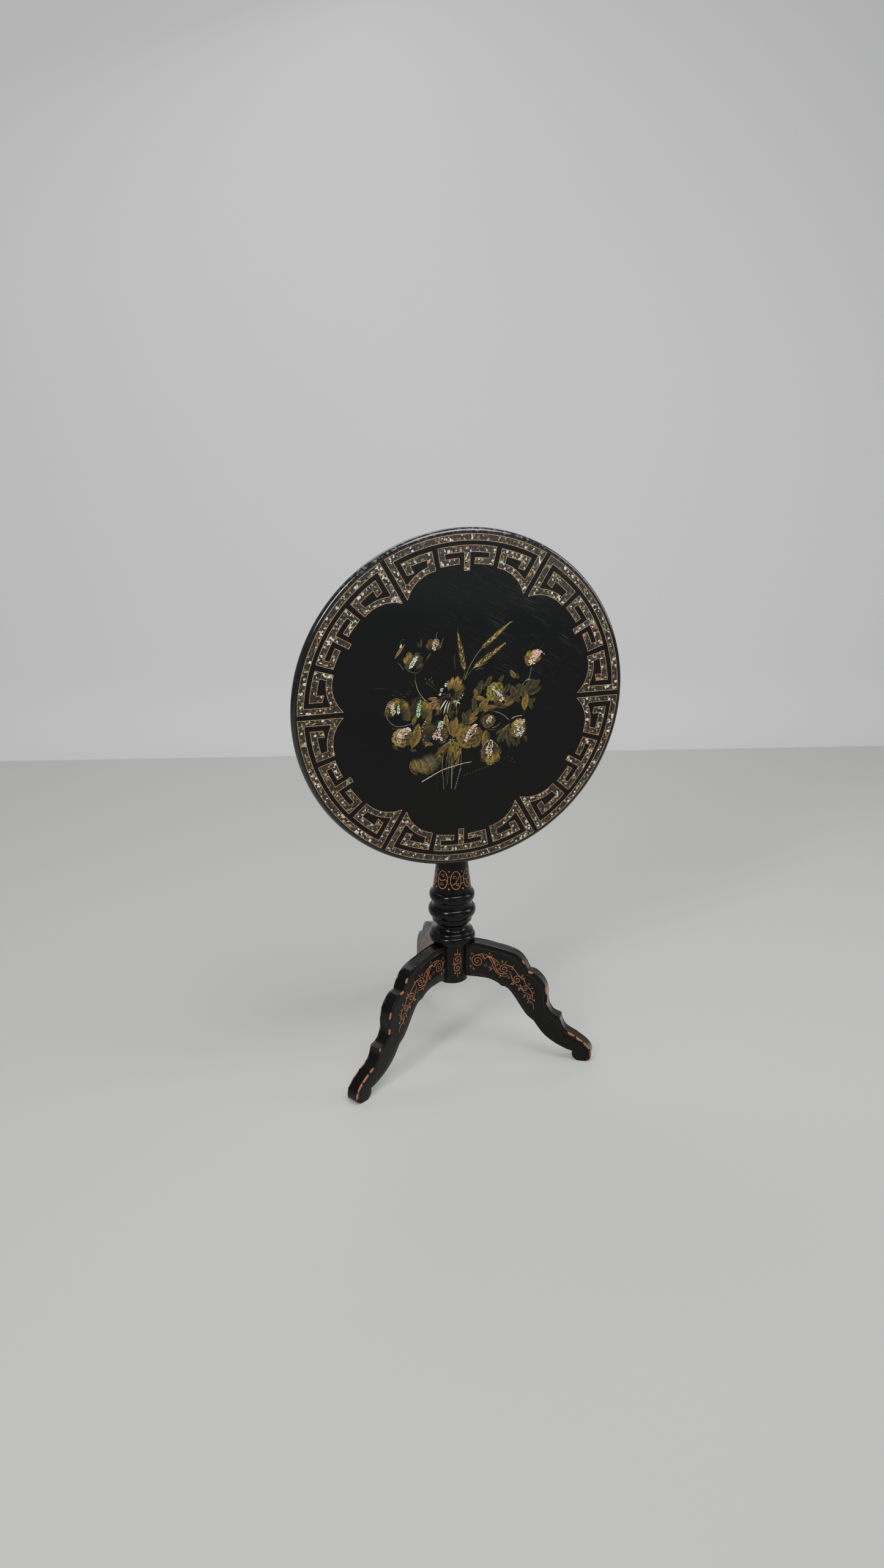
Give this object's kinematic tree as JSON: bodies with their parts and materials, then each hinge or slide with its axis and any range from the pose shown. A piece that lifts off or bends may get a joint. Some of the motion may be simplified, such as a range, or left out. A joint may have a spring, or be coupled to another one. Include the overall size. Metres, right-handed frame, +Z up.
{
  "type": "tilt top table",
  "caption": "Round tilt-top tripod table: lacquered top with an inlaid key border hinged on a block, turned pillar with a hub, dovetailed cabriole legs with scroll toes.",
  "frame": {"origin": "on the floor, under the middle of the table's box as it stands with its top tipped up", "axes": "+Z up; the face of the tipped-up top looks along -Y; +X is to the right of someone facing that face"},
  "size_m": [0.601, 0.4185, 0.9958],
  "materials": {
    "lacquered_top": "black lacquer, satin gloss, fine scratches, worn rim",
    "lacquered_wood": "ebonised lacquer, satin gloss, brown wood showing at worn edges",
    "stained_wood": "dark stained, planed",
    "brass": "aged, satin",
    "spring_steel": "dull",
    "iron": "dark, lightly rusted",
    "pearl_inlay": "iridescent shell chips",
    "gilt_line": "thin gilt line",
    "bronze_paint": "bronze powder paint, hand brushed"
  },
  "bodies": {
    "stand": {"pillar": "lacquered_wood", "leg_front_left": "lacquered_wood", "leg_front_right": "lacquered_wood", "leg_rear": "lacquered_wood", "hinge_block": "stained_wood", "tenon_wedge": "stained_wood", "pivot_pin_left": "iron", "pivot_pin_right": "iron", "strike_plate": "brass", "strike_screw_1": "brass", "strike_screw_2": "brass", "hub_plate": "iron", "hub_plate_screw_1": "iron", "hub_plate_screw_2": "iron", "hub_plate_screw_3": "iron"},
    "top": {"table_top": "lacquered_top", "bearer_left": "stained_wood", "bearer_right": "stained_wood", "bearer_screw_left_1": "iron", "bearer_screw_left_2": "iron", "bearer_screw_left_3": "iron", "bearer_screw_left_4": "iron", "bearer_screw_right_1": "iron", "bearer_screw_right_2": "iron", "bearer_screw_right_3": "iron", "bearer_screw_right_4": "iron", "catch_case": "brass", "catch_spring": "spring_steel", "catch_screw_1": "brass", "catch_screw_2": "brass", "catch_screw_3": "brass", "catch_screw_4": "brass"},
    "catch": {"catch_bolt": "brass", "catch_knob": "brass"}
  },
  "joints": [
    {"name": "top_tilt", "type": "hinge", "parent": "stand", "child": "top", "pos_m": [0, -0.0948, 0.6642], "axis": [-1, 0, 0], "range_deg": [0, 93]},
    {"name": "catch_slide", "type": "slide", "parent": "top", "child": "catch", "axis": [0, -0.0523, 0.9986], "range_m": [0, 0.006], "stiffness_N_per_m": 250, "springref_m": -0.004, "deforming": ["catch_spring"]}
  ]
}
